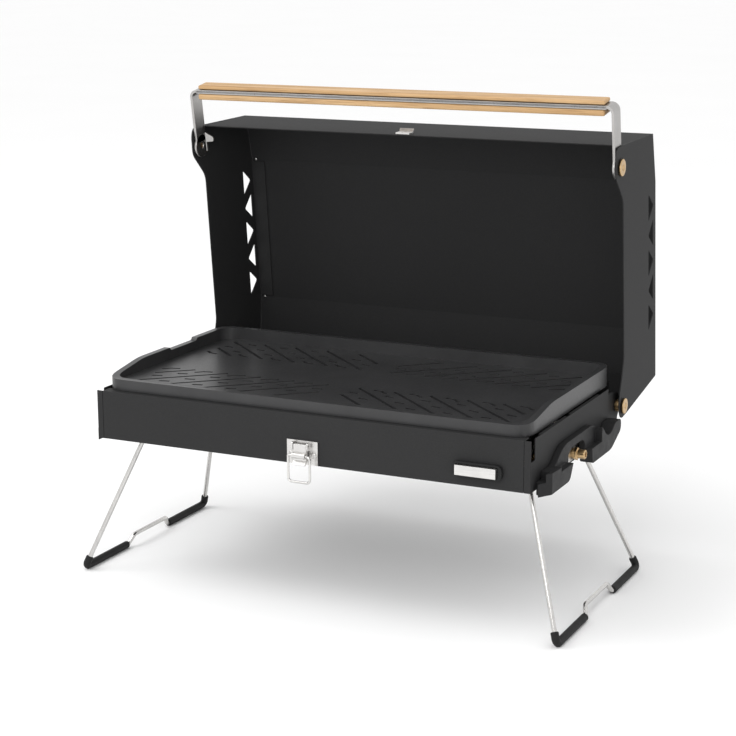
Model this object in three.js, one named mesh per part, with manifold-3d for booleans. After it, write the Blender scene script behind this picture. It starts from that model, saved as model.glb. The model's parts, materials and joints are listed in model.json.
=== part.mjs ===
// Folding table-top camp gas grill, shown open on its wire legs.
// Millimetres, +Z up, +X along the long front edge, -Y towards the cook.
// Every mesh is one separate physical piece. The origin is on the table, under the middle of the bounding box.

import * as THREE from 'three';
import { mergeVertices } from 'three/addons/utils/BufferGeometryUtils.js';
import Module from 'manifold-3d';

const wasm = await Module();
wasm.setup();

// ---------------------------------------------------------------- driving dimensions
const SHEET = 1.2;             // casing sheet steel
const GAP = 0.3;               // running gap between touching pieces

const BODY = { width: 480, depth: 264, bottom: 152, top: 203 };
const FRONT = -BODY.depth / 2;
const BACK = BODY.depth / 2;
const SIDE = BODY.width / 2;
const LEDGE = 14;              // top flanges that carry the grate

const HINGE = { y: 126, z: 179, pin: 3, head: 8.2 };
const LID = { half: 246.2, rim: 6, length: 277, depth: 115, lean: 5.94 };
const HANDLE = { u: 256.5, v: -3.5, lean: 3.5, barLow: 54.5, barHigh: 70, depth: 20, steel: 3 };

const LEG = { wire: 2.5, footX: 267, footY: 129.5, pivotX: 217, pivotY: 74, pivotZ: 147, rise: 10 };
const SLEEVE = { radius: 4.3, along: 82, up: 12 };

const GRATE = {
  x: 234.5, front: -124.5, back: 123, frontTop: 215, top: 224, riseEnd: -60,
  plateTop: 211, plateLow: 206.5, radius: 22, rim: 7,
};
const SLOT = { pitch: 39.8, first: 17.3, width: 3.8, inner: 37.5, run: 73, fall: 0.91, left: 12, right: 209 };

const GUARD = {
  inner: SIDE + GAP, outer: 254, front: FRONT - GAP, flare: -110, back: 98, bottom: 147,
  armSlot: 244.9, armBack: -116.8, screwPocket: 249.8, pocketFloor: 160,
};
const KNOB = { x: 187.5, z: 169.5, width: 51, height: 15, grip: 5, bar: 9.5, sunk: 2.5 };
const LATCH = { x: 0.5, width: 34, low: 152.6, high: 177, pivotZ: 172, pivotY: FRONT - 5, bailDrop: 9, bailOut: 4 };
const INLET = { y: -8, z: 160.5, boss: 5 };
const BURNER = { x: 175, y: 60, z: 180, radius: 8, corner: 30 };

// ---------------------------------------------------------------- geometry helpers
const rad = THREE.MathUtils.degToRad;

function solid(geometry) {
  const bare = geometry.clone();
  bare.deleteAttribute('normal');
  bare.deleteAttribute('uv');
  const merged = mergeVertices(bare, 1e-4);
  return new wasm.Manifold(new wasm.Mesh({
    numProp: 3,
    vertProperties: new Float32Array(merged.attributes.position.array),
    triVerts: new Uint32Array(merged.index.array),
  }));
}

function geometryOf(manifold) {
  const mesh = manifold.getMesh();
  const geometry = new THREE.BufferGeometry();
  geometry.setAttribute('position', new THREE.BufferAttribute(new Float32Array(mesh.vertProperties), 3));
  geometry.setIndex(new THREE.BufferAttribute(new Uint32Array(mesh.triVerts), 1));
  geometry.computeVertexNormals();
  return geometry;
}

function join(...pieces) {
  return geometryOf(pieces.map(solid).reduce((sum, piece) => sum.add(piece)));
}

function cut(piece, ...tools) {
  return geometryOf(tools.map(solid).reduce((rest, tool) => rest.subtract(tool), solid(piece)));
}

function box(x0, x1, y0, y1, z0, z1) {
  const geometry = new THREE.BoxGeometry(x1 - x0, y1 - y0, z1 - z0);
  return geometry.translate((x0 + x1) / 2, (y0 + y1) / 2, (z0 + z1) / 2);
}

// A round bar along one axis.
function rod(axis, centre, radius, length, sides = 20) {
  const geometry = new THREE.CylinderGeometry(radius, radius, length, sides);
  if (axis === 'x') geometry.rotateZ(Math.PI / 2);
  if (axis === 'z') geometry.rotateX(Math.PI / 2);
  return geometry.translate(...centre);
}

// An outline whose corners are rounded by the radius given as each point's third number.
function outline(points) {
  const shape = new THREE.Shape();
  const count = points.length;
  points.forEach(([a, b, radius = 0], i) => {
    const here = new THREE.Vector2(a, b);
    if (radius === 0) {
      if (i === 0) shape.moveTo(a, b); else shape.lineTo(a, b);
      return;
    }
    const before = new THREE.Vector2(...points[(i + count - 1) % count]);
    const after = new THREE.Vector2(...points[(i + 1) % count]);
    const arrive = before.sub(here).setLength(radius).add(here);
    const leave = after.sub(here).setLength(radius).add(here);
    if (i === 0) shape.moveTo(arrive.x, arrive.y); else shape.lineTo(arrive.x, arrive.y);
    shape.quadraticCurveTo(a, b, leave.x, leave.y);
  });
  shape.closePath();
  return shape;
}

function slab(shape, low, high, curveSegments = 5) {
  const geometry = new THREE.ExtrudeGeometry(shape, { depth: high - low, bevelEnabled: false, curveSegments });
  return geometry.translate(0, 0, low);
}

// Plates cut from an outline: seen along X the outline is (y, z), along Y it is (z, x), along Z it is (x, y).
const alongX = new THREE.Matrix4().makeBasis(
  new THREE.Vector3(0, 1, 0), new THREE.Vector3(0, 0, 1), new THREE.Vector3(1, 0, 0));
const alongY = new THREE.Matrix4().makeBasis(
  new THREE.Vector3(0, 0, 1), new THREE.Vector3(1, 0, 0), new THREE.Vector3(0, 1, 0));
const plateX = (points, low, high, segments) => slab(outline(points), low, high, segments).applyMatrix4(alongX);
const plateY = (points, low, high, segments) =>
  slab(outline(points.map(([x, z, r]) => [z, x, r])), low, high, segments).applyMatrix4(alongY);
const plateZ = (points, low, high, segments) => slab(outline(points), low, high, segments);

// A bent sheet: an open run of (y, z) points with a thickness to its right, stretched along X.
function bentSheet(run, thickness, x0, x1) {
  const inner = run.map((point, i) => {
    const here = new THREE.Vector2(...point);
    const before = new THREE.Vector2(...run[Math.max(i - 1, 0)]);
    const after = new THREE.Vector2(...run[Math.min(i + 1, run.length - 1)]);
    const arrive = here.clone().sub(before).normalize();
    const leave = after.clone().sub(here).normalize();
    if (i === 0) arrive.copy(leave);
    if (i === run.length - 1) leave.copy(arrive);
    const normal = new THREE.Vector2(arrive.y + leave.y, -arrive.x - leave.x).normalize();
    const spread = thickness / normal.dot(new THREE.Vector2(arrive.y, -arrive.x));
    return [here.x + normal.x * spread, here.y + normal.y * spread];
  });
  return plateX([...run, ...inner.reverse()], x0, x1);
}

// A wire or pipe along straight runs with rounded corners.
function bentRod(points, radius, corner, sides = 8, spacing = 7) {
  const path = new THREE.CurvePath();
  const spots = points.map((point) => new THREE.Vector3(...point));
  let start = spots[0];
  for (let i = 1; i < spots.length - 1; i += 1) {
    const shorter = Math.min(spots[i].distanceTo(spots[i - 1]), spots[i].distanceTo(spots[i + 1]));
    const reach = Math.min(corner, shorter * 0.45);
    const arrive = spots[i - 1].clone().sub(spots[i]).setLength(reach).add(spots[i]);
    const leave = spots[i + 1].clone().sub(spots[i]).setLength(reach).add(spots[i]);
    path.add(new THREE.LineCurve3(start, arrive));
    path.add(new THREE.QuadraticBezierCurve3(arrive, spots[i], leave));
    start = leave;
  }
  path.add(new THREE.LineCurve3(start, spots[spots.length - 1]));
  const section = new THREE.Shape();
  section.absarc(0, 0, radius, 0, Math.PI * 2);
  const steps = Math.ceil(path.getLength() / spacing);
  return new THREE.ExtrudeGeometry(section, {
    steps, extrudePath: path, bevelEnabled: false, curveSegments: sides / 2,
  });
}

// ---------------------------------------------------------------- materials
const paint = (color, roughness, metalness) => new THREE.MeshStandardMaterial({ color, roughness, metalness });
const POWDER = paint(0x2b2b2c, 0.6, 0.3);
const INTERIOR = paint(0x242425, 0.7, 0.3);
const NONSTICK = paint(0x38383a, 0.4, 0.4);
const MOULDED = paint(0x262627, 0.55, 0);
const RUBBER = paint(0x18181a, 0.8, 0);
const STEEL = paint(0xc9cacb, 0.3, 1);
const BRASS = paint(0xc6a065, 0.3, 1);
const OAK = paint(0xc49a68, 0.6, 0);
const CERAMIC = paint(0xe9e6df, 0.5, 0);

const grill = new THREE.Group();

function add(parent, name, geometry, material) {
  const mesh = new THREE.Mesh(geometry, material);
  mesh.name = name;
  parent.add(mesh);
  return mesh;
}

const mirrored = (geometry, side) => (side > 0 ? geometry : geometryOf(solid(geometry).mirror([1, 0, 0])));
const SIDES = [['left', -1], ['right', 1]];

// ---------------------------------------------------------------- casing
function casing() {
  const seam = SIDE - 6.5;
  const wide = seam - GAP;
  const low = BODY.bottom;
  const high = BODY.top;
  const frontSheet = bentSheet(
    [[FRONT + LEDGE, high], [FRONT, high], [FRONT, low], [FRONT + 10, low]], -SHEET, -wide, wide);
  const shaftHole = rod('y', [KNOB.x, FRONT, KNOB.z], 5, 12);
  add(grill, 'front_panel', cut(frontSheet, shaftHole), POWDER);

  // Each side sheet wraps the front corner with a short flange and has two hems along its top edge.
  const end = 96;
  const wall = box(SIDE - SHEET, SIDE, FRONT, end, low, high);
  const frontFlange = box(seam, SIDE - SHEET, FRONT, FRONT + SHEET, low, high);
  const hems = [[FRONT + 30, -28], [-18, end - 26]].map(([y0, y1]) =>
    box(SIDE - 4, SIDE - SHEET, y0, y1, high - SHEET, high));
  const inletPocket = box(SIDE - 2, SIDE + 1, INLET.y - 17, INLET.y + 17, low - 1, 172);
  const tabNotch = box(seam + 0.1, SIDE + 1, FRONT + 1.7, FRONT + 12.5, 182, high + 1);
  const plain = cut(join(wall, frontFlange, ...hems), tabNotch);
  add(grill, 'left_side_panel', mirrored(plain, -1), POWDER);
  add(grill, 'right_side_panel', cut(plain, inletPocket), POWDER);

  const inside = SIDE - SHEET - GAP;
  add(grill, 'back_panel', bentSheet(
    [[BACK - LEDGE, high], [BACK, high], [BACK, low], [BACK - 12, low]], SHEET, -229, 229), POWDER);

  const floor = box(-inside, inside, FRONT + 10 + GAP, BACK - 12 - GAP, low, low + SHEET);
  const vents = [];
  for (let x = -180; x <= 180; x += 60) {
    vents.push(box(x - 16, x + 16, -24, -18, low - 1, low + 3), box(x - 16, x + 16, 18, 24, low - 1, low + 3));
  }
  add(grill, 'body_floor', cut(floor, ...vents), POWDER);
}

// ---------------------------------------------------------------- side guards
function guards() {
  // Moulded bumper: a foot at each end and an arch between them that leaves room for the gas inlet.
  // Its front end flares out from the case corner and has a slot where the handle arm hangs with the lid shut.
  const { inner, outer, front, flare, back, bottom } = GUARD;
  const profile = [
    [front, bottom, 2], [front, 169, 3], [-82, 167, 8], [-60, 182, 14], [34, 182, 14], [52, 165, 8], [66, 165, 6],
    [78, 173, 6], [back, 173, 5], [back, 161, 5], [67, bottom, 7], [8, bottom, 4], [4, 174, 12], [-43, 174, 14],
    [-59, bottom, 6],
  ];
  const body = plateX(profile, inner, outer, 4);
  const thinArch = box(inner + 6.5, outer + 1, -84, 36, 163, 190);
  const corner = plateZ([
    [inner, front - 1], [outer + 1, front - 1], [outer + 1, flare + 1.5], [outer, flare], [inner, front],
  ], bottom - 1, 190);
  const armSlot = box(inner - 1, GUARD.armSlot, front - 1, GUARD.armBack, bottom - 1, 190);
  const screwPocket = box(inner - 1, GUARD.screwPocket, front - 1, front + 28, GUARD.pocketFloor, 190);
  const shape = cut(body, thinArch, corner, armSlot, screwPocket);
  SIDES.forEach(([name, side]) => add(grill, `${name}_side_guard`, mirrored(shape, side), MOULDED));
}

// ---------------------------------------------------------------- lid hinges
function hinges() {
  const bracketX = SIDE - SHEET - GAP;
  const profile = [
    [60, 160], [60, 196], [112, 196], [130, 192, 4], [139, 184, 5], [139, 173, 5], [131, 165, 4], [131, 158], [70, 158],
  ];
  const plate = plateX(profile, bracketX - 2, bracketX);
  const foot = box(bracketX - 12, bracketX - 2, 66, 116, 158, 160);
  const bore = rod('x', [bracketX, HINGE.y, HINGE.z], HINGE.pin + GAP, 10);
  const bracket = cut(join(plate, foot), bore);
  const ear = LID.half;
  const spacerLow = bracketX + GAP;
  const spacerHigh = ear - SHEET - GAP;
  const ring = (low, high, radius, hole) => cut(
    rod('x', [(low + high) / 2, HINGE.y, HINGE.z], radius, high - low),
    rod('x', [(low + high) / 2, HINGE.y, HINGE.z], hole, high - low + 4));
  const spacer = ring(spacerLow, spacerHigh, 6.5, HINGE.pin + GAP);
  const nutLow = bracketX - 2 - GAP - 5;
  const nut = cut(
    rod('x', [nutLow + 2.5, HINGE.y, HINGE.z], 6.2, 5, 6),
    rod('x', [nutLow + 2.5, HINGE.y, HINGE.z], HINGE.pin + GAP, 9));
  const head = rod('x', [ear + GAP + 1.4, HINGE.y, HINGE.z], HINGE.head, 2.8, 24);
  const shank = rod('x', [(nutLow - 1 + ear + 1) / 2, HINGE.y, HINGE.z], HINGE.pin, ear + 2 - nutLow, 12);
  const screw = join(head, shank);
  SIDES.forEach(([name, side]) => {
    add(grill, `${name}_hinge_bracket`, mirrored(bracket, side), POWDER);
    add(grill, `${name}_hinge_spacer`, mirrored(spacer, side), BRASS);
    add(grill, `${name}_hinge_nut`, mirrored(nut, side), BRASS);
    add(grill, `${name}_hinge_screw`, mirrored(screw, side), BRASS);
  });
}

// ---------------------------------------------------------------- cooking grate
function grate() {
  const { x, front, back, frontTop, top, riseEnd, plateTop, plateLow, radius, rim } = GRATE;
  const frame = (inset, low, high, corner) => plateZ([
    [-x + inset, front + inset, corner], [x - inset, front + inset, corner],
    [x - inset, back - inset, corner], [-x + inset, back - inset, corner],
  ], low, high, 6);
  // The rim is low along the front and climbs along both sides to the full height at the back.
  const lowered = plateX([
    [front - 1, frontTop], [front + 6, frontTop, 4], [riseEnd, top, 10], [riseEnd + 12, top], [riseEnd + 12, top + 2],
    [front - 1, top + 2],
  ], -x - 1, x + 1);
  const pan = cut(
    frame(0, BODY.top + GAP, top, radius), frame(rim, plateTop, top + 1, radius - rim + 2), lowered);
  const hollow = frame(5, 200, plateLow, radius - 3);
  const notch = plateX([[-7, top + 1], [-4, top - 3, 2], [50, top - 3, 2], [53, top + 1]], -x - 2, -x + rim + 2);
  const slots = [];
  const middle = (front + back) / 2;
  // A slot from a to b in one quarter: both are (distance right of centre, distance out from the inner end).
  const slotBar = (sx, sy, [x0, out0], [x1, out1]) => {
    const from = new THREE.Vector2(sx * x0, middle + sy * (SLOT.inner + out0));
    const to = new THREE.Vector2(sx * x1, middle + sy * (SLOT.inner + out1));
    const along = to.clone().sub(from);
    const tool = new THREE.BoxGeometry(along.length(), SLOT.width, 20).rotateZ(along.angle());
    return tool.translate((from.x + to.x) / 2, (from.y + to.y) / 2, plateTop);
  };
  // Long diagonal slots with a column of short hooked ones between each two; the quarters mirror each other.
  [[-1, -1], [1, -1], [-1, 1], [1, 1]].forEach(([sx, sy]) => {
    for (let n = -1; n <= 4; n += 1) {
      const start = SLOT.first + n * SLOT.pitch;
      const s0 = Math.max(0, SLOT.left - start);
      const s1 = Math.min(SLOT.run, SLOT.right - start);
      slots.push(slotBar(sx, sy, [start + s0, s0 * SLOT.fall], [start + s1, s1 * SLOT.fall]));
      const column = start + SLOT.pitch / 2;
      for (let k = 0; k < 4; k += 1) {
        const s = 3 + k * 20;
        const at = column + s;
        if (at < SLOT.left + 2 || at > SLOT.right - 8 || (k === 3 && n === -1)) continue;
        slots.push(slotBar(sx, sy, [at - 5, s * SLOT.fall - 1], [at + 6, s * SLOT.fall + 1.6]));
        if (k === 0) slots.push(slotBar(sx, sy, [at + 3, s * SLOT.fall], [at + 12, (s + 9) * SLOT.fall]));
      }
    }
  });
  add(grill, 'grate', cut(pan, hollow, notch, ...slots), NONSTICK);
}

// ---------------------------------------------------------------- gas train
function gasTrain() {
  const { x, y, z, radius, corner } = BURNER;
  const valveY = FRONT + 20;
  const mouth = valveY + 16;
  add(grill, 'burner_tube', bentRod([
    [KNOB.x, mouth, KNOB.z], [KNOB.x, mouth + 24, KNOB.z], [KNOB.x, mouth + 54, z], [KNOB.x, y, z],
    [-x, y, z], [-x, -y, z], [x - 26, -y, z],
  ], radius, corner, 8, 15), STEEL);

  SIDES.forEach(([name, side]) => {
    const post = box(side * 120 - 6, side * 120 + 6, y - 10, y + 10, BODY.bottom + SHEET + GAP, 160);
    const saddle = box(side * 120 - 1, side * 120 + 1, y - 10, y + 10, 160, z - radius - GAP);
    add(grill, `${name}_burner_bracket`, join(post, saddle), STEEL);
  });

  const stemHole = rod('y', [KNOB.x, valveY - 8, KNOB.z], 3.4, 24);
  const valveBody = join(
    box(KNOB.x - 11, KNOB.x + 11, valveY - 10, valveY + 12, KNOB.z - 9, KNOB.z + 9),
    rod('y', [KNOB.x, valveY - 11.5, KNOB.z], 7, 9));
  add(grill, 'gas_valve', cut(valveBody, stemHole), BRASS);
  add(grill, 'gas_jet', rod('y', [KNOB.x, valveY + 12 + GAP + 1.6, KNOB.z], 4, 3.2, 6), BRASS);

  const plateX0 = SIDE - SHEET - GAP - 2;
  const boss = rod('x', [SIDE - 5, INLET.y, INLET.z], INLET.boss, 20);
  const flats = rod('x', [SIDE + 2, INLET.y, INLET.z], 6.9, 4, 6);
  const thread = rod('x', [SIDE + 8, INLET.y, INLET.z], 4.8, 9);
  const port = rod('x', [SIDE + 8, INLET.y, INLET.z], 2.6, 14);
  add(grill, 'gas_inlet', cut(join(boss, flats, thread), port), BRASS);
  add(grill, 'inlet_plate', cut(
    box(plateX0, plateX0 + 2, INLET.y - 20, INLET.y + 20, BODY.bottom + SHEET + GAP, INLET.z + 15),
    rod('x', [plateX0, INLET.y, INLET.z], INLET.boss + GAP, 8)), STEEL);
  add(grill, 'gas_pipe', bentRod([
    [SIDE - 15 - GAP, INLET.y, INLET.z], [SIDE - 30, INLET.y, INLET.z],
    [SIDE - 30, valveY + 2, KNOB.z - 5], [KNOB.x + 11 + GAP, valveY + 2, KNOB.z - 5],
  ], 3, 10, 8, 10), BRASS);
  add(grill, 'igniter_electrode', join(
    rod('z', [136, -46, 172], 3, 22, 12), rod('z', [136, -46, 186], 1, 10, 8)), CERAMIC);

  const tray = cut(
    box(-206, 206, -88, 112, 155, 160),
    box(-204.8, 204.8, -86.8, 110.8, 156.2, 162),
    box(110, 130, y - 12, y + 12, 150, 170), box(-130, -110, y - 12, y + 12, 150, 170),
    box(130, 142, -52, -40, 150, 170));
  add(grill, 'grease_tray', tray, STEEL);
}

// ---------------------------------------------------------------- control knob
function knob() {
  const { x, z, width, height, grip: gripDepth, bar, sunk } = KNOB;
  const face = FRONT - GAP;
  const pill = (half, tall, y0, y1) => plateY([
    [x - half, z - tall, tall * 0.9], [x + half, z - tall, tall * 0.9],
    [x + half, z + tall, tall * 0.9], [x - half, z + tall, tall * 0.9],
  ], y0, y1, 5);
  const grip = pill(width / 2, height / 2, face - gripDepth, face);
  const recess = box(x - 21.4, x + 21.4, face - bar, face - sunk, z - 5.4, z + 5.4);
  const bore = rod('y', [x, face, z], 3.1 + GAP, 10);
  add(grill, 'knob_grip', cut(grip, recess, bore), MOULDED);
  add(grill, 'knob_bar', box(x - 21, x + 21, face - bar, face - sunk - GAP, z - 5, z + 5), STEEL);
  add(grill, 'valve_stem', rod('y', [x, face + 8, z], 3, 20, 12), STEEL);
}

// ---------------------------------------------------------------- draw latch
function latch() {
  const { x, width, low, high, pivotZ, pivotY } = LATCH;
  const face = FRONT - GAP;
  const plate = box(x - width / 2, x + width / 2, face - 1.4, face, low, high);
  const ears = [-8.2, 8.2].map((dx) => plateX([
    [face - 1, pivotZ + 4, 0], [pivotY - 3, pivotZ + 4, 2], [pivotY - 3, pivotZ - 4, 2], [face - 1, pivotZ - 4, 0],
  ], x + dx - 0.7, x + dx + 0.7));
  const bores = rod('x', [x, pivotY, pivotZ], 1.5, 30);
  add(grill, 'latch_plate', cut(join(plate, ...ears), bores), STEEL);

  const lever = new THREE.Group();
  lever.position.set(x, pivotY, pivotZ);
  grill.add(lever);
  // The lever hangs from the bridge; its lower end folds out into a finger tab.
  const blade = plateX([
    [-2.4, 2.4, 1], [-2.4, -14, 0], [-5.4, -18, 0], [-4.2, -18.8, 0], [1.4, -14.4, 0], [1.4, 2.4, 1],
  ], -7, 7);
  const bailPin = rod('x', [0, -LATCH.bailOut, -LATCH.bailDrop], 2.9, 14, 14);
  const bailBore = rod('x', [0, -LATCH.bailOut, -LATCH.bailDrop], 1.6, 20, 14);
  const pinBore = rod('x', [0, 0, 0], 1.5, 20, 14);
  add(lever, 'latch_lever', cut(join(blade, bailPin), bailBore, pinBore), STEEL);
  add(grill, 'latch_pin', rod('x', [x, pivotY, pivotZ], 1.2, 19, 12), STEEL);

  // Wire bail: two arms in a loop, its open top closed by the wire through the lever.
  const half = 12;
  const y = -LATCH.bailOut;
  const top = -LATCH.bailDrop;
  const wire = bentRod([
    [-half + 0.5, y, top], [half, y, top], [half, y, top - 27], [-half, y, top - 27], [-half, y, top + 0.01],
  ], 1.3, 3.2, 6, 4);
  add(lever, 'latch_bail', wire, STEEL);
}

// ---------------------------------------------------------------- wire legs
function legs() {
  const { wire, footX, footY, pivotX, pivotY, pivotZ, rise } = LEG;
  const floorZ = SLEEVE.radius;
  const lean = new THREE.Vector3(footX - pivotX, 0, floorZ - pivotZ).normalize();
  SIDES.forEach(([name, side]) => {
    const foot = (y, up) => [side * (footX - lean.x * up), y, floorZ - lean.z * up];
    const top = (end) => [side * pivotX, end * pivotY, pivotZ];
    const corner = footY - SLEEVE.radius;
    const step = 8;
    const bare = corner - SLEEVE.along;
    const path = [
      [side * pivotX, -pivotY - 14, pivotZ], top(-1), foot(-corner, 0), foot(-bare + 2, 0),
      foot(-bare + 2 + step, rise), foot(bare - 2 - step, rise), foot(bare - 2, 0), foot(corner, 0), top(1),
      [side * pivotX, pivotY + 14, pivotZ],
    ];
    const bend = 5;
    const spacing = 8;
    add(grill, `${name}_leg_wire`, bentRod(path, wire, bend, 6, spacing), STEEL);
    const core = bentRod(path, wire + GAP, bend, 6, spacing);
    [['front', -1], ['rear', 1]].forEach(([place, end]) => {
      const up = new THREE.Vector3(...top(end)).sub(new THREE.Vector3(...foot(end * corner, 0)));
      const tip = new THREE.Vector3(...foot(end * corner, 0)).add(up.setLength(SLEEVE.up));
      const sleeve = bentRod(
        [tip.toArray(), foot(end * corner, 0), foot(end * bare, 0)], SLEEVE.radius, bend, 8, 6);
      add(grill, `${name}_${place}_leg_sleeve`, cut(sleeve, core), RUBBER);

      const y0 = end * (pivotY + 6.5);
      const plate = plateX([
        [Math.min(y0, y0 + end * 9), BODY.bottom - GAP], [Math.max(y0, y0 + end * 9), BODY.bottom - GAP],
        [Math.max(y0, y0 + end * 9), 142.6], [Math.min(y0, y0 + end * 9), 142.6],
      ], side * pivotX - 6, side * pivotX + 6);
      const bore = rod('y', [side * pivotX, y0, pivotZ], wire + GAP, 40, 12);
      add(grill, `${name}_${place}_leg_bracket`, cut(plate, bore), STEEL);
    });
  });
}

// ---------------------------------------------------------------- lid
// The lid's own frame has its origin on the hinge line: y runs back into the lid, z runs up along the rim.
const lid = new THREE.Group();
lid.position.set(0, HINGE.y, HINGE.z);
lid.rotation.x = rad(LID.lean);
grill.add(lid);

function lidShell() {
  const { half, rim, length, depth } = LID;
  const inner = half - SHEET - GAP;
  const run = [
    [rim, length], [depth - 9, length - 8], [depth, length - 61.5], [depth, 48], [depth - 9, -4], [30, -9.5],
  ];
  const shell = bentSheet(run, SHEET, -inner, inner);
  const slot = box(-9, 9, rim + 6, rim + 9, length - 12, length + 4);
  add(lid, 'lid_shell', cut(shell, slot), INTERIOR);

  // Steel catch on the front wall, with the lip that the wire bail hooks.
  const wallAt = (y) => length - ((y - rim) * 8) / (depth - 9 - rim);
  add(lid, 'lid_catch', plateX([
    [rim + 2, wallAt(rim + 2) + GAP], [rim + 2, wallAt(rim + 2) + 2.2], [rim + 12, wallAt(rim + 12) + 2.2],
    [rim + 14, wallAt(rim + 12) + 5.4], [rim + 15.4, wallAt(rim + 12) + 5], [rim + 13.4, wallAt(rim + 12) + GAP],
  ], -8, 8), STEEL);
}

function lidSides() {
  const { half, rim, length, depth } = LID;
  const bend = length - 61.5;
  const profile = [
    [rim, 50, 4], [0, 34, 6], [-9, 16, 6], [-13, 0, 8], [-6, -13, 6], [14, -12], [depth + 1, -4, 2],
    [depth, bend, 0], [depth - 9, length - 8, 0], [rim, length + 0.5, 0], [-14, length + 1, 5],
    [-18, length - 8, 4], [-18, 248, 6], [rim, 220, 8],
  ];
  const plate = plateX(profile, half - SHEET, half, 5);
  const flange = box(half - 18, half - SHEET, depth - 2 * SHEET - GAP, depth - SHEET - GAP, 50, bend - 2);
  const vents = [];
  const pitch = 30.4;
  for (let n = 0; n < 5; n += 1) {
    const flip = n % 2 === 1;
    const wide = (v) => (flip ? 197 - v : v);
    const top = bend - 8.5 - n * pitch;
    vents.push(plateX([
      [wide(90), top, 2.5], [wide(107.5), top - pitch / 2, 2.5], [wide(90), top - pitch + 0.5, 2.5],
    ], half - 4, half + 2, 2));
  }
  const bores = [[0, 0, HINGE.pin + GAP], [HANDLE.v, HANDLE.u, 3.3]].map(([y, z, radius]) =>
    rod('x', [half, y, z], radius, 8, 16));
  const side = cut(join(plate, flange), ...vents, ...bores);
  SIDES.forEach(([name, sign]) => add(lid, `lid_${name}_side`, mirrored(side, sign), POWDER));
}

function handle() {
  const { half } = LID;
  const { u, v, lean, barLow, barHigh, depth, steel } = HANDLE;
  const outer = half - SHEET - GAP - 0.5;
  const screwHead = rod('x', [half + GAP + 1.3, v, u], 8.8, 2.6, 24);
  const shank = rod('x', [half - 2, v, u], 3, 5.4, 12);
  SIDES.forEach(([name, sign]) =>
    add(lid, `${name}_handle_screw`, mirrored(join(screwHead, shank), sign), BRASS));

  const swing = new THREE.Group();
  swing.position.set(0, v, u);
  swing.rotation.x = rad(lean);
  lid.add(swing);
  const back = depth / 2;
  const arm = (sign) => {
    const strip = box(outer - steel, outer, -back, back, 0, barHigh - 4.5);
    const eye = rod('x', [outer - steel / 2, 0, 0], 13, steel, 24);
    // The stop tab is bent inwards from the back of the eye. With the lid shut it hangs in front of the case.
    const tabX = outer - steel;
    const bent = plateZ([
      [tabX + 1, back - 2], [tabX + 1, back + 1], [tabX - 7.6, back + 5], [tabX - 7.6, back + 2.4],
    ], -9, 13);
    const arrowhead = plateY([
      [tabX + 2, -9], [tabX + 2, 13], [tabX, 13, 2], [tabX - 7.6, 6, 2.5], [tabX - 7.6, 1.3, 1.5],
      [tabX - 0.7, 1.3], [tabX - 0.7, -9],
    ], back - 4, back + 8);
    const tab = geometryOf(solid(bent).intersect(solid(arrowhead)));
    return mirrored(cut(join(strip, eye, tab), rod('x', [outer, 0, 0], 3.3, 12, 16)), sign);
  };
  const crossbar = box(-outer, outer, -back, back, barLow + 8, barLow + 8 + steel);
  const flange = box(-outer, outer, -back, -back + 1.6, barLow + 7, barHigh - 4.5);
  add(swing, 'handle_bar', join(arm(-1), arm(1), crossbar, flange), STEEL);
  const gripHalf = 234;
  add(swing, 'upper_grip', box(
    -gripHalf, gripHalf, -back + 1.6 + GAP, back, barLow + 8 + steel + GAP, barHigh), OAK);
  add(swing, 'lower_grip', box(-gripHalf, gripHalf, -back, back, barLow, barLow + 7 - GAP), OAK);
}

casing();
guards();
hinges();
grate();
gasTrain();
knob();
latch();
legs();
lidShell();
lidSides();
handle();

// Stand the feet on the table and centre the footprint on the origin.
grill.updateMatrixWorld(true);
const bounds = new THREE.Box3().setFromObject(grill, true);
grill.position.y = -(bounds.min.y + bounds.max.y) / 2;
grill.position.z = -bounds.min.z;
grill.updateMatrixWorld(true);

export default grill;
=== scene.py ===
"""Folding table-top camp gas grill: finishes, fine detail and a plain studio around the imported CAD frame.

Metres, +Z up, +X along the long front edge, -Y towards the cook. Sizes below are in millimetres,
measured from the middle of the casing and the table top, and BENCH turns them into the frame's metres.
"""
import json
import math

import bmesh
import bpy
from mathutils import Matrix, Vector


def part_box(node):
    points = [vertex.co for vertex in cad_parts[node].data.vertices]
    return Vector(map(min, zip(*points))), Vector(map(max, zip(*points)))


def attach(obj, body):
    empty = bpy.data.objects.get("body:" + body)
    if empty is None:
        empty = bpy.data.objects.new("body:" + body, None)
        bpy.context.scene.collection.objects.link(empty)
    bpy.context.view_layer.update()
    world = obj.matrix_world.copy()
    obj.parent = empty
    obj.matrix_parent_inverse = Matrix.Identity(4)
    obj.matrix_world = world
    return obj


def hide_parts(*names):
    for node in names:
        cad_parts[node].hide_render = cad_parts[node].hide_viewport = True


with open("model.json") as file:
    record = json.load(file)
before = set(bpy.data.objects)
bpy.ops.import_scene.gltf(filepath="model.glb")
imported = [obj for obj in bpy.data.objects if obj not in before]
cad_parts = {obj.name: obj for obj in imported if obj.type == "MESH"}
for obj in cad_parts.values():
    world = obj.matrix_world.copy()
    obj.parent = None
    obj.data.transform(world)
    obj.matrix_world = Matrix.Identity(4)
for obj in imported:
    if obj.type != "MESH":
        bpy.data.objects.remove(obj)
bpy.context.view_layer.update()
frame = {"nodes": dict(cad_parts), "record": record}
SLOT_OF = {s["node"]: s["material_slot"] for s in frame["record"]["subparts"]}

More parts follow.
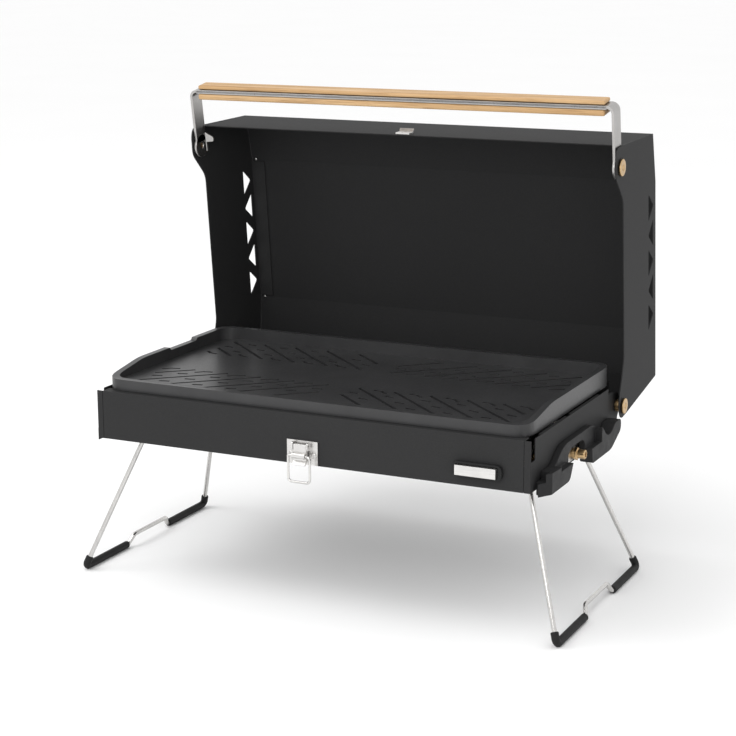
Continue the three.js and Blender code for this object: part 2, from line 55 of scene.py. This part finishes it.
# ------------------------------------------------------------------ sizes, in millimetres
FRONT, SIDE, CASE_LOW = -132.0, 240.0, 152.0
HINGE_Y, HINGE_Z = 126.0, 179.0
LID_HALF, LID_DEPTH, LID_LEAN = 246.2, 115.0, 5.94
HANDLE_U, HANDLE_V, HANDLE_LEAN = 256.5, -3.5, 3.5
STRAP_OUTER, STRAP_THICK, STRAP_HALF, STRAP_TOP = 244.2, 3.0, 10.0, 65.5
KNOB_X, KNOB_Z = 187.5, 169.5
LATCH_X, LATCH_Y, LATCH_Z = 0.5, -137.0, 172.0
INLET_Y, INLET_Z = -8.0, 160.5
GAP = 0.3
SHEET = 1.2
PIN, HINGE_HEAD, HANDLE_HEAD = 3.0, 8.2, 8.8
MESH_BEVEL_STEPS, MESH_BEVEL_ANGLE = 2, 35

panel_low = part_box("front_panel")[0]
SHIFT = Vector((0.0, panel_low.y * 1000 - FRONT, panel_low.z * 1000 - CASE_LOW))
BENCH = Matrix.Scale(0.001, 4) @ Matrix.Translation(SHIFT)
LID = BENCH @ Matrix.Translation((0, HINGE_Y, HINGE_Z)) @ Matrix.Rotation(math.radians(LID_LEAN), 4, "X")
HANDLE = LID @ Matrix.Translation((0, HANDLE_V, HANDLE_U))
HANDLE = HANDLE @ Matrix.Rotation(math.radians(HANDLE_LEAN), 4, "X")
SIDES = (("left", -1), ("right", 1))


# ------------------------------------------------------------------ node graphs
class Graph:
    """A small helper around one material's node tree."""

    def __init__(self, name):
        self.material = bpy.data.materials.new(name)
        self.material.use_nodes = True
        self.tree = self.material.node_tree
        self.shader = self.tree.nodes["Principled BSDF"]
        self.place = self.add("ShaderNodeTexCoord").outputs["Object"]

    def add(self, kind, **values):
        node = self.tree.nodes.new(kind)
        for key, value in values.items():
            setattr(node, key, value)
        return node

    def join(self, output, socket):
        self.tree.links.new(output, socket)

    def stretched(self, scale):
        node = self.add("ShaderNodeMapping")
        self.join(self.place, node.inputs["Vector"])
        node.inputs["Scale"].default_value = scale
        return node.outputs["Vector"]

    def noise(self, scale, detail=3.0, roughness=0.5, place=None, distortion=0.0):
        node = self.add("ShaderNodeTexNoise")
        self.join(place or self.place, node.inputs["Vector"])
        node.inputs["Scale"].default_value = scale
        node.inputs["Detail"].default_value = detail
        node.inputs["Roughness"].default_value = roughness
        node.inputs["Distortion"].default_value = distortion
        return node.outputs["Fac"]

    def spread(self, value, low, high, out_low, out_high):
        node = self.add("ShaderNodeMapRange")
        self.join(value, node.inputs["Value"])
        for key, number in (("From Min", low), ("From Max", high), ("To Min", out_low), ("To Max", out_high)):
            node.inputs[key].default_value = number
        return node.outputs["Result"]

    def ramp(self, value, stops):
        node = self.add("ShaderNodeValToRGB")
        self.join(value, node.inputs["Fac"])
        while len(node.color_ramp.elements) < len(stops):
            node.color_ramp.elements.new(0.5)
        for element, (position, colour) in zip(node.color_ramp.elements, stops):
            element.position = position
            element.color = (*colour, 1.0)
        return node.outputs["Color"]

    def mix(self, factor, first, second, blend="MIX"):
        node = self.add("ShaderNodeMix", data_type="RGBA", blend_type=blend)
        for socket, value in ((node.inputs[0], factor), (node.inputs[6], first), (node.inputs[7], second)):
            if isinstance(value, (int, float)):
                socket.default_value = value
            elif isinstance(value, tuple):
                socket.default_value = (*value, 1.0)
            else:
                self.join(value, socket)
        return node.outputs[2]

    def bump(self, *layers):
        """Each layer is (height output, strength, distance in metres)."""
        last = None
        for height, strength, distance in layers:
            node = self.add("ShaderNodeBump")
            node.inputs["Strength"].default_value = strength
            node.inputs["Distance"].default_value = distance
            self.join(height, node.inputs["Height"])
            if last is not None:
                self.join(last, node.inputs["Normal"])
            last = node.outputs["Normal"]
        self.join(last, self.shader.inputs["Normal"])

    def surface(self, colour, roughness, metallic=0.0, specular=0.5):
        for name, value in (("Base Color", colour), ("Roughness", roughness)):
            socket = self.shader.inputs[name]
            if isinstance(value, tuple):
                socket.default_value = (*value, 1.0)
            elif isinstance(value, (int, float)):
                socket.default_value = value
            else:
                self.join(value, socket)
        self.shader.inputs["Metallic"].default_value = metallic
        self.shader.inputs["Specular IOR Level"].default_value = specular
        return self.material


def shades(tint, share):
    """Ramp stops a little darker and a little lighter than a tint."""
    return [(0.3, tuple(c * (1 - share) for c in tint)), (0.7, tuple(c * (1 + share) for c in tint))]


def powder_coat(name, tint, rough):
    """Fine-textured powder coat on sheet steel."""
    g = Graph(name)
    cloudy = g.ramp(g.noise(7, 3, 0.55), shades(tint, 0.03))
    speck = g.ramp(g.noise(2600, 2, 0.5), [(0.38, (0.82, 0.82, 0.82)), (0.62, (1.16, 1.16, 1.16))])
    colour = g.mix(1.0, cloudy, speck, "MULTIPLY")
    g.bump((g.noise(1500, 2, 0.6), 0.30, 0.00010))
    satin = g.spread(g.noise(900, 3, 0.6), 0.3, 0.7, rough - 0.03, rough + 0.03)
    return g.surface(colour, satin, specular=0.08)


def nonstick():
    """Cast plate with a dark satin non-stick coat."""
    g = Graph("nonstick_coat")
    colour = g.ramp(g.noise(24, 4, 0.6), [(0.3, (0.026, 0.026, 0.027)), (0.72, (0.036, 0.036, 0.037))])
    g.bump((g.noise(900, 3, 0.6), 0.20, 0.00010))
    return g.surface(colour, g.spread(g.noise(500, 3, 0.6), 0.3, 0.7, 0.31, 0.38), specular=0.42)


def moulded(name, tint, rough, grain):
    """Injection-moulded plastic or rubber with a fine leather-like grain."""
    g = Graph(name)
    cell = g.add("ShaderNodeTexVoronoi", feature="DISTANCE_TO_EDGE")
    g.join(g.place, cell.inputs["Vector"])
    cell.inputs["Scale"].default_value = grain
    colour = g.ramp(g.noise(30, 3, 0.6), shades(tint, 0.12))
    g.bump((cell.outputs["Distance"], 0.25, 0.00015), (g.noise(300, 2, 0.5), 0.10, 0.0002))
    dull = g.spread(g.noise(80, 3, 0.6), 0.3, 0.7, rough - 0.06, rough + 0.06)
    return g.surface(colour, dull, specular=0.15)


def metal(name, dark, light, rough, grain, tint_scale=40):
    """Brushed or turned metal: grain is the noise stretch along X, Y and Z."""
    g = Graph(name)
    streak = g.noise(1.0, 4, 0.65, g.stretched(grain))
    tone = g.ramp(g.noise(tint_scale, 3, 0.6), [(0.3, dark), (0.7, light)])
    lines = g.ramp(streak, [(0.3, (0.88, 0.88, 0.88)), (0.7, (1.06, 1.06, 1.06))])
    g.bump((streak, 0.16, 0.00008), (g.noise(160, 2, 0.5), 0.05, 0.0002))
    brushed = g.spread(streak, 0.3, 0.7, rough - 0.06, rough + 0.1)
    return g.surface(g.mix(1.0, tone, lines, "MULTIPLY"), brushed, metallic=1.0)


def oak():
    """Oiled oak with its grain along X."""
    g = Graph("oiled_oak")
    rings = g.noise(1.0, 5, 0.6, g.stretched((5.0, 150.0, 150.0)), 0.6)
    pores = g.noise(1.0, 3, 0.5, g.stretched((34.0, 1500.0, 1500.0)))
    flame = g.noise(1.0, 2, 0.5, g.stretched((11.0, 60.0, 60.0)))
    wood = g.ramp(rings, [
        (0.30, (0.40, 0.235, 0.105)), (0.48, (0.53, 0.335, 0.165)), (0.70, (0.66, 0.45, 0.245))])
    wood = g.mix(g.spread(flame, 0.35, 0.75, 0.0, 0.35), wood, (0.60, 0.375, 0.17))
    flecks = g.ramp(pores, [(0.36, (0.62, 0.56, 0.50)), (0.46, (1.0, 1.0, 1.0))])
    g.bump((pores, 0.30, 0.00015), (rings, 0.12, 0.0003))
    oiled = g.spread(rings, 0.3, 0.7, 0.62, 0.46)
    return g.surface(g.mix(0.75, wood, flecks, "MULTIPLY"), oiled, specular=0.35)


def ceramic():
    g = Graph("glazed_ceramic")
    colour = g.ramp(g.noise(200, 3, 0.5), [(0.3, (0.70, 0.68, 0.63)), (0.7, (0.80, 0.78, 0.74))])
    g.bump((g.noise(700, 2, 0.5), 0.08, 0.0001))
    return g.surface(colour, g.spread(g.noise(300), 0.3, 0.7, 0.2, 0.35))


POWDER = powder_coat("powder_coat", (0.0285, 0.0285, 0.0289), 0.56)
INTERIOR = powder_coat("lid_interior", (0.0265, 0.0265, 0.0270), 0.62)
STEEL_X = metal("brushed_steel_x", (0.60, 0.59, 0.58), (0.70, 0.69, 0.67), 0.30, (30, 1400, 1400))
# The strap is the same stainless steel as the other parts; its darker base colour is painted shade standing
# in for the dark surroundings it reflects.
STRAP = metal("strap_steel_painted_shade", (0.40, 0.39, 0.38), (0.47, 0.46, 0.45), 0.32, (1400, 1400, 40))
WIRE = metal("drawn_wire", (0.58, 0.57, 0.56), (0.68, 0.67, 0.65), 0.20, (500, 500, 60))
BRASS = metal("satin_brass", (0.50, 0.335, 0.165), (0.62, 0.44, 0.24), 0.30, (80, 900, 900))
MATERIALS = {
    "powder_coat": POWDER,
    "lid_interior": INTERIOR,
    "nonstick": nonstick(),
    "moulded_black": moulded("moulded_plastic", (0.0185, 0.0185, 0.0190), 0.52, 900),
    "sleeve_rubber": moulded("sleeve_rubber", (0.0165, 0.0165, 0.0168), 0.60, 1400),
    "stainless": STEEL_X,
    "brass": BRASS,
    "oak": oak(),
    "ceramic": ceramic(),
}


# ------------------------------------------------------------------ CAD nodes that keep their shape
def refine(node, bevel=0.35, segments=2, angle=30, flat=False, smooth=False, above=None):
    """Welds the facets, rounds the edges and gives the finish.

    Flat merges the facets of pieces without holes. Smooth blends the facets of moulded or cast pieces;
    sheet metal stays crisp. Above rounds only the edges higher than that height.
    """
    piece = frame["nodes"][node]
    weld = piece.modifiers.new("weld", "WELD")
    weld.merge_threshold = 0.000004
    if flat:
        merge = piece.modifiers.new("flat", "DECIMATE")
        merge.decimate_type = "DISSOLVE"
        merge.angle_limit = math.radians(0.6)
    edge = piece.modifiers.new("edges", "BEVEL")
    edge.width = bevel / 1000
    edge.segments = segments
    edge.limit_method = "ANGLE"
    edge.angle_limit = math.radians(angle)
    edge.miter_outer = "MITER_ARC"
    if above is not None:
        level = (BENCH @ Vector((0, 0, above))).z
        group = piece.vertex_groups.new(name="upper")
        upper = [v.index for v in piece.data.vertices if (piece.matrix_world @ v.co).z > level]
        group.add(upper, 1.0, "REPLACE")
        edge.limit_method = "VGROUP"
        edge.vertex_group = "upper"
    if smooth:
        if above is not None:
            split = piece.modifiers.new("creases", "EDGE_SPLIT")
            split.split_angle = math.radians(38)
            split.use_edge_sharp = False
        shade = piece.modifiers.new("shade", "WEIGHTED_NORMAL")
        shade.weight = 80
    for face in piece.data.polygons:
        face.use_smooth = smooth
    piece.data.materials.clear()
    piece.data.materials.append(MATERIALS[SLOT_OF[node]])


# ------------------------------------------------------------------ new pieces
def finish_mesh(bm, name, body, slot, material=None, place=BENCH, bevel=0.0, replaces=()):
    """Turns a bmesh in millimetres into a piece that rides on a body."""
    bmesh.ops.transform(bm, matrix=place, verts=bm.verts)
    bmesh.ops.recalc_face_normals(bm, faces=bm.faces)
    mesh = bpy.data.meshes.new(name)
    bm.to_mesh(mesh)
    bm.free()
    for face in mesh.polygons:
        face.use_smooth = True
    piece = bpy.data.objects.new(name, mesh)
    bpy.context.scene.collection.objects.link(piece)
    if bevel:
        edge = piece.modifiers.new("edges", "BEVEL")
        edge.width = bevel / 1000
        edge.segments = MESH_BEVEL_STEPS
        edge.limit_method = "ANGLE"
        edge.angle_limit = math.radians(MESH_BEVEL_ANGLE)
    shade = piece.modifiers.new("shade", "WEIGHTED_NORMAL")
    shade.weight = 80
    mesh.materials.append(material or MATERIALS[slot])
    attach(piece, body)
    if replaces:
        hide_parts(*replaces)
    return piece


def loft(bm, rings, closed=False):
    """Skins rings of equal point count; an open loft gets end caps."""
    rows = [[bm.verts.new(p) for p in ring] for ring in rings]
    count = len(rows[0])
    pairs = list(zip(rows, rows[1:])) + ([(rows[-1], rows[0])] if closed else [])
    for low, high in pairs:
        for i in range(count):
            j = (i + 1) % count
            bm.faces.new((low[i], low[j], high[j], high[i]))
    if not closed:
        bm.faces.new(list(reversed(rows[0])))
        bm.faces.new(rows[-1])


def lathe(bm, profile, place, sides=32, hexagon=()):
    """Revolves (radius, height) points about place's Z axis. Rings named in hexagon are six-sided."""
    rings = []
    for index, (radius, height) in enumerate(profile):
        ring = []
        for k in range(sides):
            a = 2 * math.pi * k / sides
            r = radius
            if index in hexagon:
                part = (a + math.pi / 6) % (math.pi / 3) - math.pi / 6
                r = radius * math.cos(math.pi / 6) / math.cos(part)
            ring.append(place @ Vector((r * math.cos(a), r * math.sin(a), height)))
        rings.append(ring)
    loft(bm, rings)


def facing(point, axis):
    """A frame at a point whose Z axis looks along axis."""
    turn = Vector(axis).to_track_quat("Z", "Y").to_matrix().to_4x4()
    return Matrix.Translation(point) @ turn


def rounded(points, radius, steps=8):
    """A polyline whose inner corners become arcs."""
    spots = [Vector(p) for p in points]
    path = [spots[0]]
    for before, here, after in zip(spots, spots[1:], spots[2:]):
        a, b = (before - here).normalized(), (after - here).normalized()
        half = a.angle(b) / 2
        reach = min(radius / math.tan(half), 0.48 * min((before - here).length, (after - here).length))
        size = reach * math.tan(half)
        centre = here + (a + b).normalized() * (size / math.sin(half))
        start, end = here + a * reach - centre, here + b * reach - centre
        turn = start.angle(end)
        axis = start.cross(end).normalized()
        for k in range(steps + 1):
            path.append(centre + Matrix.Rotation(turn * k / steps, 3, axis) @ start)
    path.append(spots[-1])
    return path


def tube(bm, path, radius, sides=16, dome=0.6):
    """A round bar along a path with softly domed ends."""
    tangents = []
    for i in range(len(path)):
        low, high = path[max(i - 1, 0)], path[min(i + 1, len(path) - 1)]
        tangents.append((high - low).normalized())
    up = Vector((0, 0, 1)) if abs(tangents[0].z) < 0.9 else Vector((1, 0, 0))
    across = tangents[0].cross(up).normalized()
    rings = []

    def ring(centre, tangent, size):
        nonlocal across
        across = (across - tangent * across.dot(tangent)).normalized()
        other = tangent.cross(across)
        turn = [2 * math.pi * k / sides for k in range(sides)]
        return [centre + (across * math.cos(a) + other * math.sin(a)) * size for a in turn]

    for share in (0.0, 0.5, 1.0):
        rings.append(ring(path[0] + tangents[0] * dome * (0.0 if share == 0 else share * share),
                          tangents[0], radius - dome * (1 - share) ** 1.5))
    for centre, tangent in zip(path[1:-1], tangents[1:-1]):
        rings.append(ring(centre, tangent, radius))
    for share in (1.0, 0.5, 0.0):
        rings.append(ring(path[-1] - tangents[-1] * dome * (0.0 if share == 0 else share * share),
                          tangents[-1], radius - dome * (1 - share) ** 1.5))
    loft(bm, rings)


def prism(bm, outline, low, high, axis):
    """An outline stretched along one axis: along X it is (y, z), along Y (x, z) and along Z (x, y)."""
    put = {
        "X": lambda a, b, c: (c, a, b),
        "Y": lambda a, b, c: (a, c, b),
        "Z": lambda a, b, c: (a, b, c),
    }[axis]
    loft(bm, [[Vector(put(a, b, c)) for a, b in outline] for c in (low, high)])


def block(bm, low, high):
    corners = [(low[0], low[1]), (high[0], low[1]), (high[0], high[1]), (low[0], high[1])]
    prism(bm, corners, low[2], high[2], "Z")


def rivet(bm, place, radius=2.4, height=1.1):
    lathe(bm, [(radius, -0.3), (radius, 0.15), (radius * 0.93, height * 0.55), (radius * 0.66, height * 0.9),
               (radius * 0.25, height)], place, 20)


def socket_screw(bm, place, radius, height, hexagon):
    """A low cylinder head with a hexagon socket."""
    lathe(bm, [(radius, 0), (radius, height - 0.7), (radius - 0.25, height - 0.25), (radius - 0.8, height),
               (hexagon + 1.1, height), (hexagon + 0.9, height - 0.15), (hexagon, height - 0.2),
               (hexagon * 0.98, height - 1.7), (hexagon * 0.5, height - 2.0)], place, 36, hexagon=(6, 7))


# ---- casing, grate, lid, handle, knob and latch keep their CAD shapes, with rounded edges
for name in ("front_panel", "left_side_panel", "right_side_panel", "back_panel"):
    refine(name, 0.5, 3)
refine("body_floor", 0.2)
refine("grate", 1.2, 3, smooth=True, above=212.5)
refine("lid_shell", 0.45, 2)
for name in ("lid_left_side", "lid_right_side"):
    refine(name, 0.35, 2)
for name in ("left_side_guard", "right_side_guard"):
    refine(name, 1.2, 4, 26, flat=True, smooth=True)
for name in ("left_hinge_bracket", "right_hinge_bracket"):
    refine(name, 0.35)
for name in ("left_hinge_nut", "right_hinge_nut", "gas_valve", "gas_jet"):
    refine(name, 0.4)
for name in ("left_burner_bracket", "right_burner_bracket", "inlet_plate", "grease_tray",
             "left_front_leg_bracket", "left_rear_leg_bracket", "right_front_leg_bracket",
             "right_rear_leg_bracket"):
    refine(name, 0.2)
refine("knob_grip", 1.0, 3, 40, smooth=True)
refine("knob_bar", 0.6, 3, flat=True, smooth=True)
refine("latch_plate", 0.25)
refine("latch_lever", 0.3, smooth=True)
refine("lid_catch", 0.25)
refine("upper_grip", 1.5, 4, flat=True, smooth=True)
refine("lower_grip", 2.2, 5, flat=True, smooth=True)
for name in ("valve_stem", "latch_pin", "igniter_electrode"):
    refine(name, 0.2)


# ---- legs
def legs():
    foot_x, foot_y, pivot_x, pivot_y, pivot_z, rise, low = 267.0, 129.5, 217.0, 74.0, 147.0, 10.0, 4.3
    slope = Vector((foot_x - pivot_x, 0, low - pivot_z)).normalized()
    corner, step = foot_y - low, 8.0
    bare = corner - 82.0
    for name, side in SIDES:
        def foot(y, up=0.0):
            return Vector((side * (foot_x - slope.x * up), y, low - slope.z * up))
        top = {end: Vector((side * pivot_x, end * pivot_y, pivot_z)) for end in (-1, 1)}
        path = rounded([
            (side * pivot_x, -pivot_y - 14, pivot_z), top[-1], foot(-corner), foot(-bare + 2),
            foot(-bare + 2 + step, rise), foot(bare - 2 - step, rise), foot(bare - 2), foot(corner),
            top[1], (side * pivot_x, pivot_y + 14, pivot_z)], 6.0)
        bm = bmesh.new()
        tube(bm, path, 2.5, 18)
        finish_mesh(bm, f"{name}_leg_bent_wire", f"{name}_leg", "stainless", WIRE,
                    replaces=(f"{name}_leg_wire",))
        for place, end in (("front", -1), ("rear", 1)):
            up = (top[end] - foot(end * corner)).normalized() * 12.0
            line = rounded([foot(end * corner) + up, foot(end * corner), foot(end * bare)], 6.0, 10)
            bm = bmesh.new()
            tube(bm, line, 4.04, 20, 0.9)
            node = f"{name}_{place}_leg_sleeve"
            finish_mesh(bm, f"{name}_{place}_foot_sleeve", f"{name}_leg", "sleeve_rubber", replaces=(node,))


# ---- hinge and handle screws, hinge barrels
def screws():
    inner = SIDE - SHEET - GAP   # outer face of the hinge bracket
    for name, side in SIDES:
        outward = (side, 0, 0)
        bm = bmesh.new()
        head = facing((side * (LID_HALF + GAP), HINGE_Y, HINGE_Z), outward)
        socket_screw(bm, head, HINGE_HEAD, 2.8, 3.0)
        shank = facing((side * (LID_HALF + GAP + 0.5), HINGE_Y, HINGE_Z), (-side, 0, 0))
        lathe(bm, [(PIN, 0), (PIN, 17.0)], shank, 20)
        finish_mesh(bm, f"{name}_hinge_socket_screw", "case", "brass",
                    replaces=(f"{name}_hinge_screw",))
        bm = bmesh.new()
        length = LID_HALF - SHEET - GAP - inner - GAP
        bore = PIN + GAP
        lathe_ring = [(6.1, 0), (6.5, 0.4), (6.5, length - 0.4), (6.1, length), (bore + 0.3, length),
                      (bore, length - 0.3), (bore, 0.3), (bore + 0.3, 0)]
        place = facing((side * (inner + GAP), HINGE_Y, HINGE_Z), outward)
        ring = [[place @ Vector((r * math.cos(a), r * math.sin(a), h)) for r, h in lathe_ring]
                for a in (2 * math.pi * k / 36 for k in range(36))]
        loft(bm, ring, closed=True)
        finish_mesh(bm, f"{name}_hinge_barrel", "case", "brass", replaces=(f"{name}_hinge_spacer",))
        bm = bmesh.new()
        head = facing((side * (LID_HALF + GAP), HANDLE_V, HANDLE_U), outward)
        socket_screw(bm, head, HANDLE_HEAD, 2.6, 3.2)
        shank = facing((side * (LID_HALF + GAP + 0.5), HANDLE_V, HANDLE_U), (-side, 0, 0))
        lathe(bm, [(PIN, 0), (PIN, 4.9)], shank, 20)
        finish_mesh(bm, f"{name}_handle_socket_screw", "lid", "brass", place=LID,
                    replaces=(f"{name}_handle_screw",))


# ---- the handle's steel strap: one flat bar bent round two soft corners, with an eye and a tab at each end
def strap():
    bm = bmesh.new()
    middle = STRAP_OUTER - STRAP_THICK / 2
    level = STRAP_TOP - STRAP_THICK / 2
    path = rounded([(-middle, 0, 4), (-middle, 0, level), (middle, 0, level), (middle, 0, 4)], 7.0, 10)
    rings = []
    for i, point in enumerate(path):
        low, high = path[max(i - 1, 0)], path[min(i + 1, len(path) - 1)]
        along = (high - low).normalized()
        out = Vector((along.z, 0, -along.x)) * -1
        half = out * (STRAP_THICK / 2)
        wide = Vector((0, STRAP_HALF, 0))
        rings.append([point + half + wide, point - half + wide, point - half - wide, point + half - wide])
    loft(bm, rings)
    for side in (-1, 1):
        tab = STRAP_OUTER - STRAP_THICK
        place = facing((side * tab, 0, 0), (side, 0, 0))
        profile = [
            (12.4, 0), (13.0, 0.5), (13.0, 2.5), (12.4, 3.0), (4.2, 3.0), (3.3, 2.4), (3.3, 0.6), (4.0, 0)]
        ring = [[place @ Vector((r * math.cos(a), r * math.sin(a), h)) for r, h in profile]
                for a in (2 * math.pi * k / 40 for k in range(40))]
        loft(bm, ring, closed=True)
        # The tab is bent inwards from the back of the eye: x runs inwards, each x has its two faces in y.
        arrow = [(-1.0, -9.0), (-1.0, 13.0), (0.5, 12.4), (2.0, 10.9), (7.0, 7.0), (7.6, 5.4),
                 (7.6, 2.4), (6.8, 1.3), (0.7, 1.3), (0.7, -9.0)]
        loft(bm, [[Vector((side * (tab - x), STRAP_HALF + near + (x + 1) * slant, z)) for x, z in arrow]
                  for near, slant in ((-2.0, 4.4 / 8.6), (1.0, 4.0 / 8.6))])
    block(bm, (-236, -STRAP_HALF, STRAP_TOP - 4), (236, 1.6 - STRAP_HALF, STRAP_TOP - 0.1))
    finish_mesh(bm, "handle_strap", "handle", "stainless", STRAP, HANDLE, 0.4, ("handle_bar",))


# ---- latch bail: a closed loop of wire
def bail():
    half, y, top = 12.0, -4.0, -9.0
    place = BENCH @ Matrix.Translation((LATCH_X, LATCH_Y, LATCH_Z))
    bm = bmesh.new()
    path = rounded([(-half + 0.6, y, top), (half, y, top), (half, y, top - 27), (-half, y, top - 27),
                    (-half, y, top + 0.4)], 4.0, 6)
    tube(bm, path, 1.3, 12, 0.3)
    finish_mesh(bm, "latch_wire_bail", "latch_bail", "stainless", WIRE, place, replaces=("latch_bail",))


# ---- burner, pipe and gas inlet
def gas_train():
    x, y, z, radius = 175.0, 60.0, 180.0, 8.0
    mouth = FRONT + 36
    path = rounded([
        (KNOB_X, mouth, KNOB_Z), (KNOB_X, mouth + 24, KNOB_Z), (KNOB_X, mouth + 54, z), (KNOB_X, y, z),
        (-x, y, z), (-x, -y, z), (x - 26, -y, z)], 26.0, 12)
    bm = bmesh.new()
    tube(bm, path, radius - 0.1, 24, 1.2)
    for row, (low, high) in ((y, (-140, 150)), (-y, (-140, 130))):
        count = int((high - low) / 10)
        for k in range(count):
            lathe(bm, [(1.5, -0.4), (1.5, 0.12), (1.1, 0.2), (0.9, -0.3)],
                  facing((low + 10 * k, row, z + radius - 0.15), (0, 0, 1)), 10)
    finish_mesh(bm, "burner_tube_ported", "case", "stainless", STEEL_X, replaces=("burner_tube",))

    valve_y = FRONT + 20
    path = rounded([(SIDE - 15.4, INLET_Y, INLET_Z), (SIDE - 30, INLET_Y, INLET_Z),
                    (SIDE - 30, valve_y + 2, KNOB_Z - 5), (KNOB_X + 11.3, valve_y + 2, KNOB_Z - 5)], 10.0, 8)
    bm = bmesh.new()
    tube(bm, path, 2.95, 16, 0.4)
    finish_mesh(bm, "gas_pipe_bent", "case", "brass", replaces=("gas_pipe",))

    bm = bmesh.new()
    inner = SIDE - 15
    profile = [
        (4.6, 0), (5.0, 0.4), (5.0, 14.9), (6.4, 15.1), (6.9, 15.6), (6.9, 18.4), (6.4, 18.9), (4.8, 19.2)]
    for turn in range(7):
        profile += [(4.3, 19.6 + turn), (4.8, 20.1 + turn)]
    profile += [(4.2, 26.9), (3.0, 27.1), (2.6, 26.7), (2.6, 21.0), (1.0, 20.6)]
    lathe(bm, profile, facing((inner, INLET_Y, INLET_Z), (1, 0, 0)), 36, hexagon=(3, 4, 5, 6))
    finish_mesh(bm, "gas_inlet_threaded", "case", "brass", replaces=("gas_inlet",))


# ---- rivets and bosses
def small_parts():
    for name, side in SIDES:
        bm = bmesh.new()
        for x, u in ((242.0, 215.8), (234.5, 198.9), (234.5, 64.0), (242.0, 47.3)):
            rivet(bm, facing((side * (x - 1.8), LID_DEPTH - 1.2, u), (0, -1, 0)), 1.9, 1.0)
        finish_mesh(bm, f"{name}_lid_rivets", "lid", "stainless", STEEL_X, LID)
    # The latch plate's pierced bosses beside the lever.
    bm = bmesh.new()
    for x in (-12.2, 12.2):
        place = facing((LATCH_X + x, FRONT - 1.6, 162.4), (0, -1, 0))
        ring = [(3.0, 0), (2.9, 0.5), (2.5, 1.0), (1.7, 1.1), (1.5, 0.8), (1.5, -0.6), (0.4, -0.7)]
        lathe(bm, ring, place, 24)
    finish_mesh(bm, "latch_plate_bosses", "case", "stainless", STEEL_X)


legs()
screws()
strap()
bail()
gas_train()
small_parts()


# ------------------------------------------------------------------ studio
def area_light(name, place, aim, size, power, size_y=None):
    data = bpy.data.lights.new(name, "AREA")
    data.energy = power
    data.size = size
    if size_y:
        data.shape = "RECTANGLE"
        data.size_y = size_y
    lamp = bpy.data.objects.new(name, data)
    lamp.location = place
    lamp.rotation_euler = (Vector(aim) - Vector(place)).to_track_quat("-Z", "Y").to_euler()
    bpy.context.scene.collection.objects.link(lamp)


def studio():
    bm = bmesh.new()
    bmesh.ops.create_grid(bm, x_segments=2, y_segments=2, size=60)
    mesh = bpy.data.meshes.new("floor")
    bm.to_mesh(mesh)
    bm.free()
    floor = bpy.data.objects.new("floor", mesh)
    bpy.context.scene.collection.objects.link(floor)
    g = Graph("studio_floor")
    colour = g.ramp(g.noise(2, 2, 0.5), [(0.3, (0.975, 0.975, 0.975)), (0.7, (0.985, 0.985, 0.985))])
    mesh.materials.append(g.surface(colour, 0.9, specular=0.1))

    world = bpy.data.worlds.new("soft_white")
    world.use_nodes = True
    world.node_tree.nodes["Background"].inputs["Color"].default_value = (1, 1, 1, 1)
    world.node_tree.nodes["Background"].inputs["Strength"].default_value = 1.0
    bpy.context.scene.world = world
    area_light("key", (-1.6, -0.9, 2.2), (0, 0, 0.25), 1.4, 20)
    area_light("fill", (0.2, -1.1, 0.75), (-0.24, 0.08, 0.35), 0.5, 3.5)
    bpy.context.scene.view_settings.view_transform = "Standard"


def camera():
    data = bpy.data.cameras.new("camera")
    data.sensor_width = 36.0
    data.lens = 92.06
    data.clip_end = 200.0
    azimuth, elevation, roll = math.radians(25.49), math.radians(13.11), math.radians(-0.13)
    aim = BENCH @ Vector((7.8, 2.54, 222.44))
    back = Vector((math.sin(azimuth) * math.cos(elevation), -math.cos(azimuth) * math.cos(elevation),
                   math.sin(elevation)))
    eye = bpy.data.objects.new("camera", data)
    eye.location = aim + back * 1.9646
    eye.rotation_mode = "QUATERNION"
    eye.rotation_quaternion = (-back).to_track_quat("-Z", "Y") @ Matrix.Rotation(roll, 3, "Z").to_quaternion()
    bpy.context.scene.collection.objects.link(eye)
    bpy.context.scene.camera = eye


studio()
camera()
